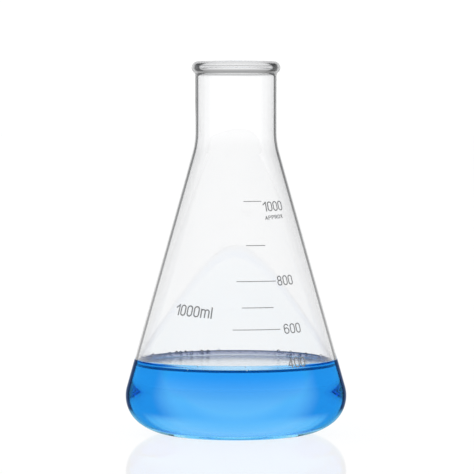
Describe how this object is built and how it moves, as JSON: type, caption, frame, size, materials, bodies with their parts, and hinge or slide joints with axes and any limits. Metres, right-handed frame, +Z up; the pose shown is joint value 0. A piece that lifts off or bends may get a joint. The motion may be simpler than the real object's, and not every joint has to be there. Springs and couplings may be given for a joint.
{
  "type": "conical flask",
  "caption": "Conical laboratory flask with a wide beaded neck, partly filled with blue liquid, with a printed volume scale on its front.",
  "frame": {"origin": "centre of the base, on the surface that the flask stands on", "axes": "+Z up along the flask's axis, -Y towards the printed scale"},
  "size_m": [0.131, 0.131, 0.2206],
  "materials": {
    "clear_glass": "polished",
    "blue_liquid": "gloss",
    "enamel": "satin"
  },
  "bodies": {
    "root": {"flask_glass": "clear_glass", "liquid": "blue_liquid", "scale_line_1000": "enamel", "scale_line_900": "enamel", "scale_line_800": "enamel", "scale_line_700": "enamel", "scale_line_600": "enamel", "numeral_1000": "enamel", "word_approx": "enamel", "numeral_800": "enamel", "numeral_600": "enamel", "numeral_400": "enamel", "capacity_1000ml": "enamel"}
  },
  "joints": []
}
